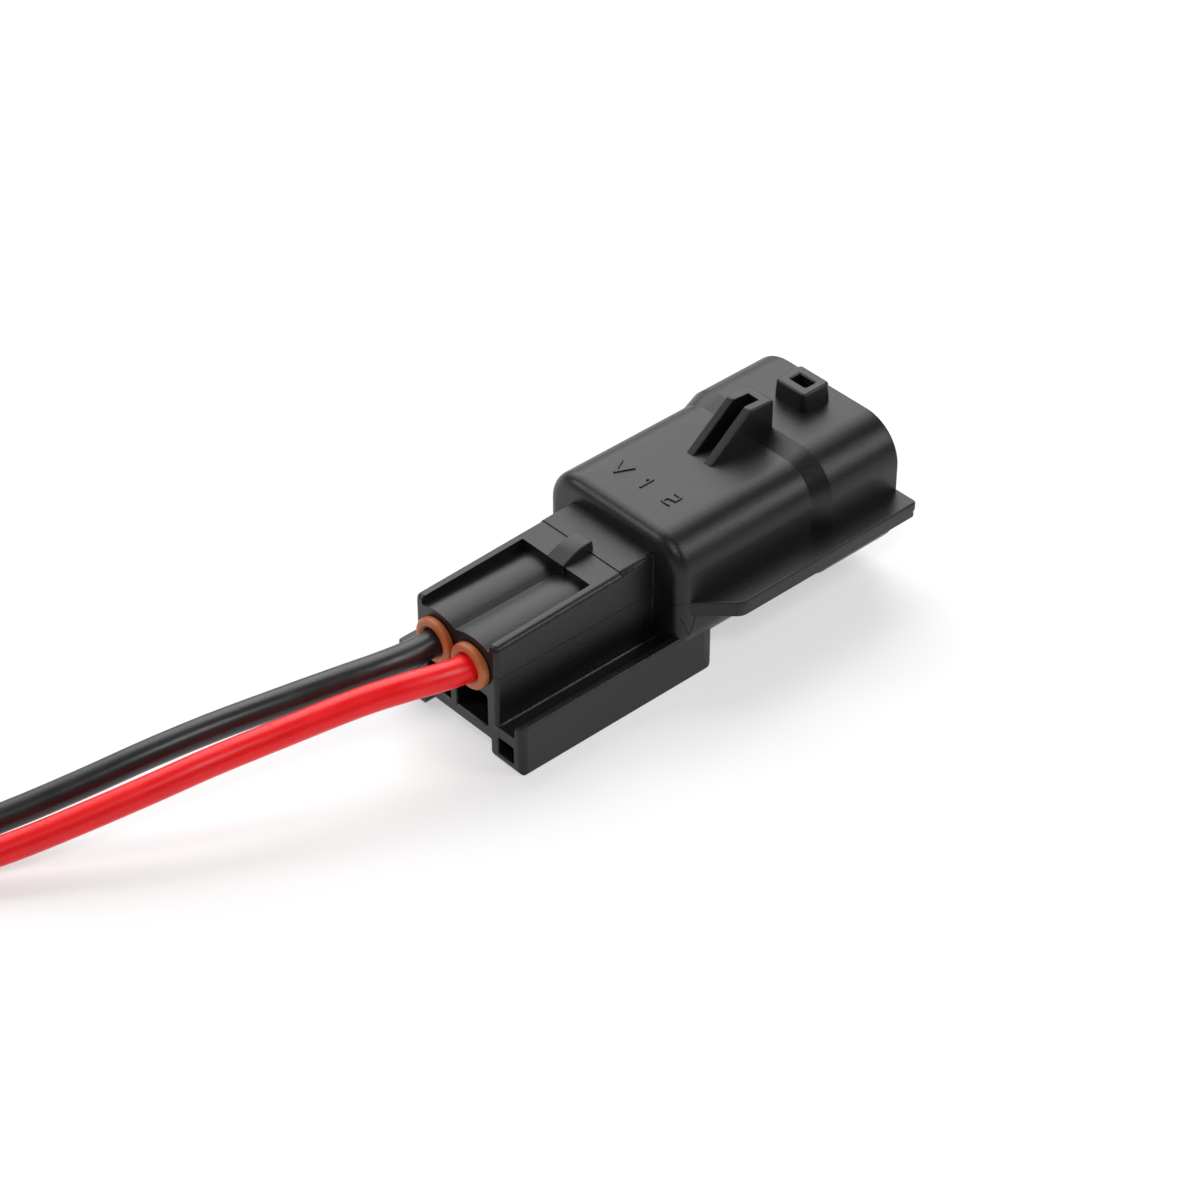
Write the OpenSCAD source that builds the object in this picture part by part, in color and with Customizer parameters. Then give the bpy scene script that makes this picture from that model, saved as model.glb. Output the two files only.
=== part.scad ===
// Sealed two-way wire-to-wire connector: the male half, with its seals, terminals and leads.
// X runs from the wire end to the mating mouth, Y across the two cavities, Z up.
// The origin is under the middle of the connector, on the plane of its feet.
// Modules draw from the housing's rear face, x = 0, and from_rear() puts them in place.

/* [Overall] */
// Length of the housing, from its rear face to the mouth
overall_len = 42.6; // [41.5:0.1:44]
// Width over the two fins
overall_w = 22.6; // [21.6:0.1:23.6]
// Height of the housing, from its feet to the top of the latch guard
overall_h = 18.3; // [17.9:0.05:18.7]

/* [Rear body] */
// Length of the rear body, from its rear face to the shell
body_len = 17; // [16.5:0.1:18]
// Width of the rear body
body_w = 10.2; // [10:0.1:10.8]
// Height of the top face at the wire end
body_top = 11.8; // [11.6:0.05:12]
// Rise of the top face towards the shell, in degrees
body_slope = 2; // [1:0.25:2.5]
// Height of the cavity axes, which is also the parting plane
axis_z = 8.7; // [8.6:0.05:8.8]
// Distance between the two cavity axes
pitch = 4.4; // [4.3:0.05:4.5]
// Bore for a wire seal
seal_bore_d = 3.9; // [3.7:0.05:3.95]
// Depth of the seal bore
seal_bore_len = 6.6; // [6.5:0.1:7.5]
// Wall around the seal bores, and beside the recess
bore_wall = 0.9; // [0.8:0.05:0.95]
// Length of the recess over the bores
recess_len = 11; // [10:0.1:11.5]
// Rise of the bore crowns above the floor of the recess
crown_rise = 0.6; // [0.4:0.05:0.7]
// Radius of the rear body's edges
body_edge_r = 0.55; // [0.3:0.05:0.7]

/* [Stop block] */
// Length of the stop block on top of the rear body
stop_len = 3.1; // [2.6:0.1:3.3]
// Length of the flat that comes before the block's slope
stop_flat = 1.5; // [1:0.1:1.8]
// Width of the stop block at its foot
stop_w = 2.5; // [2:0.1:3]
// Height of the stop block above the body's top at the wire end
stop_h = 1.35; // [1.1:0.05:1.6]

/* [Base] */
// Length of the base
base_len = 21.4; // [20.5:0.1:23]
// Width of the base
base_w = 16; // [15.4:0.1:16.4]
// Height of the two feet under the base plate
foot_h = 1.95; // [1.8:0.05:2]
// Width of each foot
foot_w = 3.75; // [3.4:0.05:3.9]
// Thickness of the base plate
plate_t = 1.8; // [1.6:0.05:1.9]
// Width of the rails along the plate's edges
rail_w = 0.85; // [0.7:0.05:1]
// Height of the rails above the plate
rail_h = 1.25; // [1:0.05:1.5]
// Width of the blind window in each foot
foot_window_w = 1.85; // [1.4:0.05:2]
// Height of the blind window in each foot
foot_window_h = 1.75; // [1.5:0.05:1.9]
// Depth of the blind windows in the feet
foot_window_len = 14; // [10:0.5:16]
// Depth of the core-outs under the seal bores
core_len = 12; // [8:0.5:12.5]

/* [Shell] */
// Width of the rear part of the shell
shell_w = 16.6; // [16.2:0.1:17]
// Height of the rear part of the shell
shell_h = 11.9; // [11.7:0.05:12.1]
// Radius of the shell's two upper corners, at its rear part
shell_r = 3.45; // [3.1:0.05:3.6]
// Radius of the shell's two lower corners, at its rear part
shell_low_r = 2.9; // [2.7:0.05:3]
// Radius of the rounded edge at the shell's rear
shell_rear_r = 1.4; // [1:0.1:1.6]
// Growth of the wider front part, on each side
flare = 0.6; // [0.4:0.05:0.7]
// Length of the wider front part
front_len = 8.1; // [7.5:0.1:8.5]
// Length of the slope between the two parts
step_len = 1.9; // [1.4:0.1:2.2]
// Thickness of the shell's wall
wall = 1.2; // [1.1:0.05:1.3]
// Length of the solid floor behind the shroud
floor_len = 5; // [4.8:0.1:5.4]

/* [Fins] */
// Thickness of the fins
fin_t = 1.6; // [1.4:0.05:1.8]
// Distance of each fin's bend from the shell's rear
fin_bend = 5.4; // [5:0.1:6]
// Radius of the bend
fin_bend_r = 1.5; // [1.2:0.1:1.7]
// Radius of the front corner of each fin
fin_tip_r = 1; // [0.5:0.1:1.2]

/* [Latch guard] */
// Distance from the mouth back to the guard's front
guard_gap = 8.1; // [7.8:0.1:8.2]
// Length of the guard
guard_len = 7.4; // [6.8:0.1:7.6]
// Length of the guard's nearly flat crest
guard_crest = 2.7; // [2.2:0.1:3]
// Width of the guard
guard_w = 3; // [2.8:0.1:3.4]
// Width of the slot between the guard's legs
guard_slot_w = 1.25; // [1:0.05:1.4]
// Thickness of the guard's front wall
guard_front_t = 1; // [0.8:0.1:1.2]

/* [Nib] */
// Distance from the mouth to the nib's front
nib_gap = 1.6; // [1.4:0.1:2]
// Length of the nib
nib_len = 3.1; // [2.8:0.1:3.3]
// Width of the nib
nib_w = 3.6; // [3.3:0.1:3.8]
// Height of the nib above the shell
nib_h = 1.8; // [1.5:0.05:2]
// Radius of the nib's corners
nib_r = 0.4; // [0.2:0.05:0.5]

/* [Terminals] */
// Width of the tabs
tab_w = 1.5; // [1.4:0.05:1.6]
// Thickness of the tabs
tab_t = 0.8; // [0.7:0.05:0.85]
// Distance of the tab tips from the mouth
tab_recess = 5; // [4.5:0.1:6]
// Outside size of the terminal's box
box_size = 2.6; // [2.5:0.05:2.7]
// Thickness of the terminal's sheet
sheet = 0.3; // [0.25:0.01:0.32]
// Room around the box in its cavity, on each side
box_room = 0.15; // [0.1:0.01:0.17]

/* [Retainer] */
// Thickness of the retainer's plate
retainer_t = 2; // [1.8:0.1:2.1]
// Room around the retainer's plate in the shroud
retainer_room = 0.4; // [0.3:0.05:0.5]
// Width of the prongs that lock the terminals
prong_w = 1.5; // [1.4:0.05:1.6]
// Height of the prongs
prong_h = 0.55; // [0.5:0.01:0.58]
// Travel between pre-lock and full lock
retainer_travel = 1.7; // [1.4:0.1:1.7]

/* [Seals and leads] */
// Outside diameter of a lead
lead_d = 2.4; // [2.3:0.05:2.5]
// Diameter of the conductor
conductor_d = 1.4; // [1.3:0.05:1.45]
// Diameter of a seal's collar
collar_d = 4.2; // [4.15:0.01:4.28]
// Reach of a seal's collar behind the rear face
seal_proud = 0.8; // [0.6:0.05:0.9]

/* [Hidden] */
$fn = 48;

// overlap that joins solids, and overshoot of cuts
e = 0.01;
cut = 1;
// depth to which a form is sunk into the one that carries it
root = 0.3;
// air between pieces that slide or are pushed together
fit = 0.02;
slack = 0.2;

// stations along X, from the housing's rear face
shell_x = body_len;
floor_x = shell_x + floor_len;
mouth_x = overall_len;
flare_x = mouth_x - front_len;
step_x = flare_x - step_len;
tab_tip_x = mouth_x - tab_recess;
guard_x1 = mouth_x - guard_gap;
guard_x0 = guard_x1 - guard_len;
nib_x = mouth_x - nib_gap - nib_len / 2;
stop_x1 = recess_len + stop_len;
rear_x = -(mouth_x - seal_proud) / 2;

// heights
plate_z = foot_h + plate_t;
recess_z = axis_z + seal_bore_d / 2 + bore_wall - crown_rise;
shell_top = axis_z + shell_h / 2;
corner_drop = shell_r - shell_low_r;
front_w = shell_w + 2 * flare;
front_h = shell_h + 2 * flare;
front_r = shell_r + flare;
front_top = axis_z + front_h / 2;

// small features of the housing
body_end_x = shell_x + 2;
recess_w = body_w - 2 * bore_wall;
recess_cut_h = 3;
stop_lean = 0.7;
stop_rear_h = 0.4;
foot_edge_r = 0.6;
foot_window_z = 0.8;
rail_edge_r = 0.2;
base_corner_r = 0.8;
core_w = 3.8;
core_rib_w = 0.8;
core_rib_y = 0.5;
core_z0 = 3;
core_h = 3.2;
lead_in = 0.5;
gate_x = stop_x1 - root;
gate_y = 3;
gate_w = 0.2;
gate_len = 2.6;
gate_depth = 0.25;
parting_step = 0.1;
fin_root_x = shell_x + 1.1;
fin_root_y = shell_w / 2 - root;
fin_reach = overall_w / 2;
rib_len = 1.3;
rib_h = 2.05;
rib_proud = 0.12;
rib_x = shell_x + 1.4;
key_w = 1;
key_h = 0.8;
key_y = 5;
key_back = retainer_t + retainer_travel + retainer_room;
nib_pocket = [1.2, 1.9, 1.6];
guard_fall = 0.2;

// terminal, seal and conductor stations
seal_len = 6.1;
seal_neck_x = 4.4;
seal_rib_x = 0.9;
seal_rib_w = 0.6;
seal_rib_step = 1.4;
seal_valley = 0.33;
seal_mid_x = 3;
neck_d = 2.96;
wing_x0 = 4.7;
wing_x1 = 6;
strip_end_x = 6.3;
crimp_x0 = 7;
crimp_x1 = 9;
conductor_end_x = 9.1;
box_x0 = 11.2;
box_x1 = 18.6;
cavity_end_x = box_x1 + 2 * slack;
lance_x0 = 13;
lance_x1 = 15.6;
tab_taper = 1.4;
strip_w = 1.6;
lance_w = 1.2;
lance_drop = 0.65;
lance_t = 0.3;
bite = 0.1;

// retainer
channel_x = 12.8;
channel_w = prong_w + 2 * slack;
channel_h = prong_h + 0.35;
channel_z = axis_z - 2.3;
prong_x0 = 16.5;
plate_x = floor_x + 0.1;
arm_t = 1;
arm_h = 2.4;
arm_y = 5.6;
arm_len = 3.8;
arm_room = 0.3;
arm_x0 = floor_x - arm_len;
arm_slot_x = arm_x0 - arm_room;

// coil of both leads, and its tie; the route runs on from the rear face and lies on the floor
coil_centre = [-66, 9.5];
coil_in_r = 10.6;
coil_out_r = 15.7;
coil_z0 = 0.4;
coil_h = 4.8;
tie_t = 0.4;
tie_turn = 11;
tie_place = 225;
tie_head = [2, 3.4, 3.2];

// routes of the leads, from the rear face to where they join the coil
red_route = [[-1, -2.2, 8.7], [-3.4, -2, 9], [-6.4, -1.4, 9.3], [-10.5, -0.3, 9.3], [-16.6, 1.3, 8.8],
             [-22.5, 3.2, 7.9], [-27.2, 5.2, 6.5], [-32, 7.5, 4.9], [-37, 10, 3.3], [-42, 12.6, 2.1],
             [-46.4, 14.9, 1.6], [-54, 17.8, 1.6], [-61.8, 20.6, 1.6]];
black_route = [[-1, 2.2, 8.7], [-3.4, 2.2, 9], [-6.4, 2.4, 9.3], [-10, 3.1, 9.4], [-14.3, 4.3, 9.1],
               [-20.1, 6.3, 8.2], [-25, 8.2, 7], [-30, 10.5, 5.3], [-34.6, 12.8, 3.7], [-39.4, 15.2, 2.3],
               [-43.3, 17.1, 1.6], [-52, 20, 1.6], [-61.4, 23.1, 1.6]];

// ---------- helpers ----------

// puts what is drawn from the rear face into the part's own frame
module from_rear() {
    translate([rear_x, 0, 0]) children();
}

// places what is drawn about a cavity's axis: side is -1 for the red lead, 1 for the black one
module on_axis(side) {
    from_rear() translate([0, side * pitch / 2, axis_z]) children();
}

// extrudes an outline of the YZ plane from x0 to x1
module along_x(x0, x1) {
    translate([x0, 0, 0]) rotate([90, 0, 90]) linear_extrude(x1 - x0) children();
}

// extrudes an outline of the XZ plane by w, evenly about y = 0
module across_y(w) {
    rotate([90, 0, 0]) linear_extrude(w, center = true) children();
}

// turns an outline drawn as [x, radius] about the X axis
module about_x() {
    rotate([0, 90, 0]) rotate_extrude() mirror([1, -1]) children();
}

// rectangle w by h with corners of radius r, about the origin
module rounded_rect(w, h, r) {
    square([w - 2 * r, h], center = true);
    square([w, h - 2 * r], center = true);
    for (x = [-1, 1], y = [-1, 1]) {
        translate([x * (w / 2 - r), y * (h / 2 - r)]) circle(r);
    }
}

// the shell's section as a prism along X, about the cavity plane: r is the radius of the upper
// corners, and the lower corners are smaller
module shell_prism(x0, x1, w, h, r) {
    translate([0, 0, axis_z]) along_x(x0, x1) intersection() {
        translate([0, -h / 2]) rounded_rect(w, 2 * h, r);
        rounded_rect(w, h, r - corner_drop);
    }
}

// ---------- housing ----------

// rear body: rounded section that rises towards the shell, with rounded rear corners
module rear_body() {
    depth = body_top - foot_h;
    intersection() {
        translate([0, 0, body_top]) rotate([0, -body_slope, 0]) translate([0, 0, -depth])
            along_x(-cut, body_end_x) rounded_rect(body_w, 2 * depth, body_edge_r);
        translate([0, 0, foot_h + e]) linear_extrude(2 * depth) translate([body_end_x / 2, 0])
            rounded_rect(body_end_x, body_w, body_edge_r);
    }
}

// base: plate on two feet, with a rounded rail along each edge
module base() {
    intersection() {
        along_x(0, base_len) {
            translate([-base_w / 2, foot_h]) square([base_w, plate_t]);
            for (side = [-1, 1]) {
                translate([side * (base_w - foot_w) / 2, foot_h / 2 + e])
                    square([foot_w, foot_h + 2 * e], center = true);
                translate([side * (base_w - rail_w) / 2, plate_z + (rail_h - rail_w) / 2])
                    rounded_rect(rail_w, rail_h + rail_w, rail_edge_r);
            }
        }
        across_y(base_w + cut) translate([base_len / 2, axis_z / 2])
            rounded_rect(base_len, axis_z, foot_edge_r);
        linear_extrude(axis_z) translate([base_len / 2 + cut, 0])
            rounded_rect(base_len + 2 * cut, base_w, base_corner_r);
    }
}

// stop block behind the recess: flat, then sloped, with leaning sides
module stop_block() {
    top_w = stop_w - stop_lean;
    low = body_top - cut;
    intersection() {
        across_y(stop_w) polygon([
            [recess_len, low], [recess_len, body_top + stop_rear_h],
            [recess_len + stop_flat, body_top + stop_h], [stop_x1, body_top + stop_h],
            [stop_x1, low]]);
        along_x(0, stop_x1 + cut) polygon([
            [-stop_w / 2, low], [-top_w / 2, body_top + stop_h],
            [top_w / 2, body_top + stop_h], [stop_w / 2, low]]);
    }
}

// shell: rounded rear edge, long rear part, slope, and wider front part
module shell() {
    hull() {
        for (turn = [0 : 18 : 90]) {
            inset = shell_rear_r * (1 - sin(turn));
            x = shell_x + shell_rear_r * (1 - cos(turn));
            shell_prism(x, x + e, shell_w - 2 * inset, shell_h - 2 * inset, shell_r - inset, $fn = 32);
        }
    }
    shell_prism(shell_x + shell_rear_r, step_x + e, shell_w, shell_h, shell_r);
    hull() {
        shell_prism(step_x, step_x + e, shell_w, shell_h, shell_r, $fn = 32);
        shell_prism(flare_x, flare_x + e, front_w, front_h, front_r, $fn = 32);
    }
    shell_prism(flare_x, mouth_x, front_w, front_h, front_r);
}

// hollow of the shroud, which follows the shell and opens at the mouth
module shroud_hollow() {
    inner_r = shell_r - wall;
    shell_prism(floor_x, mouth_x + cut, shell_w - 2 * wall, shell_h - 2 * wall, inner_r);
    shell_prism(flare_x, mouth_x + cut, front_w - 2 * wall, front_h - 2 * wall, inner_r + flare);
    hull() {
        shell_prism(mouth_x - lead_in, mouth_x - lead_in + e, front_w - 2 * wall, front_h - 2 * wall,
                    inner_r + flare, $fn = 32);
        shell_prism(mouth_x, mouth_x + e, front_w - wall, front_h - wall, inner_r + flare, $fn = 32);
    }
}

// one level of the two side fins, drawn across the whole shell
module fin_level(z0, z1, reach) {
    translate([0, 0, z0]) linear_extrude(z1 - z0) hull() {
        translate([fin_root_x, -fin_root_y]) square([cut, 2 * fin_root_y]);
        for (side = [-1, 1]) {
            translate([shell_x + fin_bend, side * (reach - fin_bend_r)]) circle(fin_bend_r, $fn = 32);
            translate([mouth_x - fin_tip_r, side * (reach - fin_tip_r)]) circle(fin_tip_r, $fn = 32);
        }
    }
}

// both fins, with the parting line half way up their edges
module fins() {
    fin_level(axis_z - fin_t / 2, axis_z, fin_reach);
    fin_level(axis_z - fin_t, axis_z - fin_t / 2 + e, fin_reach - parting_step);
}

// small V rib under the root of each fin, which follows the shell's rounded rear
module fin_ribs() {
    rib_z = axis_z - fin_t + e;
    intersection() {
        across_y(shell_w + cut) polygon([
            [rib_x - rib_len / 2, rib_z], [rib_x + rib_len / 2, rib_z], [rib_x, rib_z - rib_h]]);
        linear_extrude(axis_z) translate([shell_x - rib_proud + shell_w / 2, 0])
            rounded_rect(shell_w, shell_w + 2 * rib_proud, shell_rear_r + rib_proud);
    }
}

// latch guard: a wedge of two legs joined by a front wall
module latch_guard() {
    low = shell_top - root;
    high = overall_h;
    difference() {
        across_y(guard_w) polygon([
            [guard_x0, low], [guard_x0, shell_top], [guard_x1 - guard_crest, high],
            [guard_x1, high - guard_fall], [guard_x1, low]]);
        translate([guard_x0 - cut, -guard_slot_w / 2, shell_top])
            cube([guard_len - guard_front_t + cut, guard_slot_w, high - low]);
    }
}

// nib near the mouth, with a square pocket in its top
module nib() {
    translate([nib_x, 0, front_top - root]) {
        difference() {
            linear_extrude(nib_h + root) rounded_rect(nib_len, nib_w, nib_r);
            translate([0, 0, nib_h + root - nib_pocket[2] / 2 + e]) cube(nib_pocket, center = true);
        }
    }
}

// recess over the bores, leaving their round crowns
module recess() {
    difference() {
        translate([-cut, -recess_w / 2, recess_z]) cube([recess_len + cut, recess_w, recess_cut_h]);
        for (side = [-1, 1]) {
            translate([-2 * cut, side * pitch / 2, axis_z]) rotate([0, 90, 0])
                cylinder(d = seal_bore_d + 2 * bore_wall, h = recess_len + 3 * cut);
        }
    }
}

// everything cut for one terminal: seal bore, cavity, tab slot and the retainer's channel
module cavity(side) {
    hole = box_size + 2 * box_room;
    translate([0, side * pitch / 2, axis_z]) {
        translate([-cut, 0, 0]) rotate([0, 90, 0]) cylinder(d = seal_bore_d, h = seal_bore_len + cut);
        translate([seal_bore_len - e, -hole / 2, -hole / 2])
            cube([cavity_end_x - seal_bore_len + e, hole, hole]);
        translate([cavity_end_x - e, -tab_w / 2 - slack, -tab_t / 2 - slack])
            cube([floor_x - cavity_end_x + cut, tab_w + 2 * slack, tab_t + 2 * slack]);
    }
    translate([channel_x, side * pitch / 2 - channel_w / 2, channel_z])
        cube([floor_x - channel_x + cut, channel_w, channel_h]);
    translate([arm_slot_x, side * arm_y - arm_t / 2 - arm_room, axis_z - arm_h / 2 - arm_room])
        cube([floor_x - arm_slot_x + cut, arm_t + 2 * arm_room, arm_h + 2 * arm_room]);
}

// blind windows in the rear face, which keep the walls even
module core_outs() {
    difference() {
        translate([-cut, -core_w, core_z0]) cube([core_len + cut, 2 * core_w, core_h]);
        translate([-2 * cut, core_rib_y - core_rib_w / 2, 0]) cube([core_len + 4 * cut, core_rib_w, axis_z]);
    }
    for (side = [-1, 1]) {
        translate([-cut, side * (base_w - foot_w) / 2 - foot_window_w / 2, foot_window_z])
            cube([foot_window_len + cut, foot_window_w, foot_window_h]);
    }
}

// thin cross marks beside the stop block
module gate_marks() {
    for (side = [-1, 1]) {
        translate([gate_x, side * gate_y, body_top + gate_x * tan(body_slope)])
            cube([gate_w, gate_len, 2 * gate_depth], center = true);
    }
}

// keys on the shroud's floor, which code the mating half
module keys() {
    bottom = axis_z - shell_h / 2 + wall;
    for (side = [-1, 1]) {
        translate([floor_x + key_back, side * key_y - key_w / 2, bottom - root])
            cube([step_x - floor_x - key_back, key_w, key_h + root]);
    }
}

module housing() {
    color("#26272b") from_rear() {
        difference() {
            union() {
                rear_body();
                base();
                stop_block();
                shell();
                fins();
                fin_ribs();
                latch_guard();
                nib();
            }
            recess();
            core_outs();
            gate_marks();
            shroud_hollow();
            for (side = [-1, 1]) cavity(side);
        }
        keys();
    }
}

// ---------- retainer ----------

// plate over the shroud's floor, with a prong and a guide arm for each cavity
module front_retainer() {
    plate_w = shell_w - 2 * (wall + retainer_room);
    plate_h = shell_h - 2 * (wall + retainer_room);
    color("#b9bcbf") from_rear() {
        difference() {
            shell_prism(plate_x, plate_x + retainer_t, plate_w, plate_h, shell_r - wall - retainer_room);
            for (side = [-1, 1]) {
                translate([plate_x - cut, side * pitch / 2 - tab_w / 2 - slack, axis_z - tab_t / 2 - slack])
                    cube([retainer_t + 2 * cut, tab_w + 2 * slack, tab_t + 2 * slack]);
            }
        }
        for (side = [-1, 1]) {
            translate([prong_x0, side * pitch / 2 - prong_w / 2, channel_z + slack])
                cube([plate_x - prong_x0 + e, prong_w, prong_h]);
            translate([arm_x0, side * arm_y - arm_t / 2, axis_z - arm_h / 2])
                cube([plate_x - arm_x0 + e, arm_t, arm_h]);
        }
    }
}

// ---------- terminals, seals and conductors ----------

// ring of sheet about the axis, from x0 to x1
module sheet_ring(x0, x1, inner_d) {
    about_x() translate([x0, inner_d / 2]) square([x1 - x0, sheet]);
}

// crimped terminal with a box that holds it in the cavity, and a flat tab
module tab_terminal(side) {
    crimp_d = conductor_d + fit;
    color("#c9b27a") on_axis(side) {
        sheet_ring(wing_x0, wing_x1, neck_d + fit);
        sheet_ring(crimp_x0, crimp_x1, crimp_d);
        across_y(strip_w) polygon([
            [wing_x1 - bite, -neck_d / 2 - sheet], [strip_end_x, -neck_d / 2 - sheet],
            [crimp_x0 + 2 * bite, -crimp_d / 2 - sheet], [box_x0 + bite, -box_size / 2],
            [box_x0 + bite, sheet - box_size / 2], [crimp_x0 + 2 * bite, -crimp_d / 2 - fit],
            [strip_end_x, -neck_d / 2 - fit], [wing_x1 - bite, -neck_d / 2 - fit]]);
        difference() {
            translate([box_x0, -box_size / 2, -box_size / 2]) cube([box_x1 - box_x0, box_size, box_size]);
            translate([box_x0 - cut, sheet - box_size / 2, sheet - box_size / 2])
                cube([box_x1 - box_x0 - sheet + cut, box_size - 2 * sheet, box_size - 2 * sheet]);
        }
        across_y(lance_w) polygon([
            [lance_x1, sheet - box_size / 2], [lance_x1, -box_size / 2],
            [lance_x0, -box_size / 2 - lance_drop], [lance_x0, lance_t - box_size / 2 - lance_drop]]);
        linear_extrude(tab_t, center = true) polygon([
            [box_x1 - e, -tab_w / 2], [tab_tip_x - tab_taper, -tab_w / 2], [tab_tip_x, -tab_w / 4],
            [tab_tip_x, tab_w / 4], [tab_tip_x - tab_taper, tab_w / 2], [box_x1 - e, tab_w / 2]]);
    }
}

// seal: collar behind the housing, three ribs in the bore, and a neck for the terminal's wings
module wire_seal(side) {
    rib_r = seal_bore_d / 2 - fit;
    valley_r = rib_r - seal_valley;
    hole_r = lead_d / 2 + fit;
    collar_r = collar_d / 2;
    color("#c8713a") on_axis(side) about_x() {
        translate([0, hole_r]) square([seal_neck_x, valley_r - hole_r]);
        translate([seal_neck_x - e, hole_r]) square([seal_len - seal_neck_x, neck_d / 2 - hole_r]);
        for (i = [0 : 2]) {
            translate([seal_rib_x - seal_rib_w / 2 + i * seal_rib_step, valley_r - e])
                square([seal_rib_w, rib_r - valley_r + e]);
        }
        translate([-seal_proud, hole_r]) square([seal_proud, collar_r - seal_proud / 2 - hole_r]);
        translate([-seal_proud / 2, hole_r]) square([seal_proud / 2, collar_r - hole_r]);
        translate([-seal_proud / 2, collar_r - seal_proud / 2]) circle(seal_proud / 2);
    }
}

// bare conductor between the end of the insulation and the end of the crimp
module conductor(side) {
    color("#b8703d") on_axis(side) translate([strip_end_x, 0, 0]) rotate([0, 90, 0])
        cylinder(d = conductor_d, h = conductor_end_x - strip_end_x);
}

// ---------- leads ----------

function unit(v) = v / norm(v);
function heading(p, i) = unit(p[min(i + 1, len(p) - 1)] - p[max(i - 1, 0)]);

// tube of diameter d along the points p: a ring of sides at each point, and two flat ends
module tube(p, d, sides = 8) {
    rings = [for (i = [0 : len(p) - 1])
        let (t = heading(p, i), s = unit(cross(t, [0, 0, 1])), u = cross(s, t))
        for (k = [0 : sides - 1]) p[i] + d / 2 * (cos(k * 360 / sides) * s + sin(k * 360 / sides) * u)];
    last = (len(p) - 1) * sides;
    walls = [for (i = [0 : len(p) - 2], k = [0 : sides - 1])
        let (a = i * sides + k, b = i * sides + (k + 1) % sides)
        [a, a + sides, b + sides, b]];
    start = [for (k = [0 : sides - 1]) k];
    end = [for (k = [sides - 1 : -1 : 0]) last + k];
    polyhedron(rings, concat(walls, [start, end]));
}

// lead from the end of its insulation, straight out through the seal, and along its route
module lead(side, route) {
    y = side * pitch / 2;
    from_rear() tube(concat([[strip_end_x, y, axis_z], [seal_mid_x, y, axis_z]], route), lead_d);
}

module red_lead() {
    color("#e01420") lead(-1, red_route);
}

module black_lead() {
    color("#1c1c1e") lead(1, black_route);
}

// places an outline drawn as [radius, height] for the coil or its tie
module at_coil() {
    translate([rear_x + coil_centre[0], coil_centre[1], 0]) children();
}

// section of the coil, grown by t all round
module coil_section(t) {
    translate([(coil_in_r + coil_out_r) / 2, coil_z0 + coil_h / 2])
        rounded_rect(coil_out_r - coil_in_r + 2 * t, coil_h + 2 * t, lead_d / 2 + t);
}

module lead_coil() {
    color("#8a1a20") at_coil() rotate_extrude($fn = 96) coil_section(0);
}

// strap around the coil, and its head on the outer side
module coil_tie() {
    color("#1c1c1e") at_coil() rotate([0, 0, tie_place]) {
        rotate([0, 0, -tie_turn / 2]) rotate_extrude(angle = tie_turn, $fn = 96) difference() {
            coil_section(tie_t);
            coil_section(0);
        }
        translate([coil_out_r + tie_t - bite, -tie_head[1] / 2, coil_z0 + coil_h / 2 - tie_head[2] / 2])
            cube(tie_head);
    }
}

housing();
front_retainer();
tab_terminal(-1);  // red_tab_terminal
tab_terminal(1);  // black_tab_terminal
wire_seal(-1);  // red_wire_seal
wire_seal(1);  // black_wire_seal
conductor(-1);  // red_conductor
conductor(1);  // black_conductor
red_lead();
black_lead();
lead_coil();
coil_tie();
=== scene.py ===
# %% [markdown]
# # A sealed two-way automotive connector
#
# The CAD model is the frame: it holds every solid at its real place and size, in metres. X runs from
# the wire end to the mating mouth, Z is up, and the feet stand on the floor at Z = 0. This script
# gives it its looks. The housing, the seals and the leads are drawn again with the soft edges of
# real mouldings and cords, and the other solids keep their CAD meshes and get a material.

# %% Load the frame
import math

import bmesh
import bpy
import numpy as np
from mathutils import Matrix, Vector


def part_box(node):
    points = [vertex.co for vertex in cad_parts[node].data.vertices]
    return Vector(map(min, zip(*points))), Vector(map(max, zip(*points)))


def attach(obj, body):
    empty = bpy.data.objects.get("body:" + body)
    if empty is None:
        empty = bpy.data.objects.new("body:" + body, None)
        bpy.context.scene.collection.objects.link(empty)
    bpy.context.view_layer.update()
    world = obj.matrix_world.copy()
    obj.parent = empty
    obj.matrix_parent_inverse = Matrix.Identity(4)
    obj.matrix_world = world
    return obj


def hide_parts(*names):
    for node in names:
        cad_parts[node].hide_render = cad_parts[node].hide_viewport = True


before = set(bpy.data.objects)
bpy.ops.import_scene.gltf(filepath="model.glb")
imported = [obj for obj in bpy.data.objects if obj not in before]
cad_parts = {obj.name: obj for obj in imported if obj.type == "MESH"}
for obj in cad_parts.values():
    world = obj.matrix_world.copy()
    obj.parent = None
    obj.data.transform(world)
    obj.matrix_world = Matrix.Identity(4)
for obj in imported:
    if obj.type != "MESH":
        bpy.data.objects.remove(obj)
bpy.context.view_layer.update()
MM = 0.001
rear_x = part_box("housing")[0][0]
print("rear face of the housing at x =", round(rear_x / MM, 2), "mm")

# %% [markdown]
# ## Camera
#
# A product view from above and behind the wire end. A long lens from a third of a metre keeps the
# parallel edges of the housing nearly parallel. The camera could be placed by its coordinates. It is
# placed by its direction from the target, so azimuth and height angle read as on a tripod.

# %% Camera
AZIMUTH = math.radians(-132.22)
ELEVATION = math.radians(38.695)
DISTANCE = 297.36 * MM
LENS = 105.43

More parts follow.
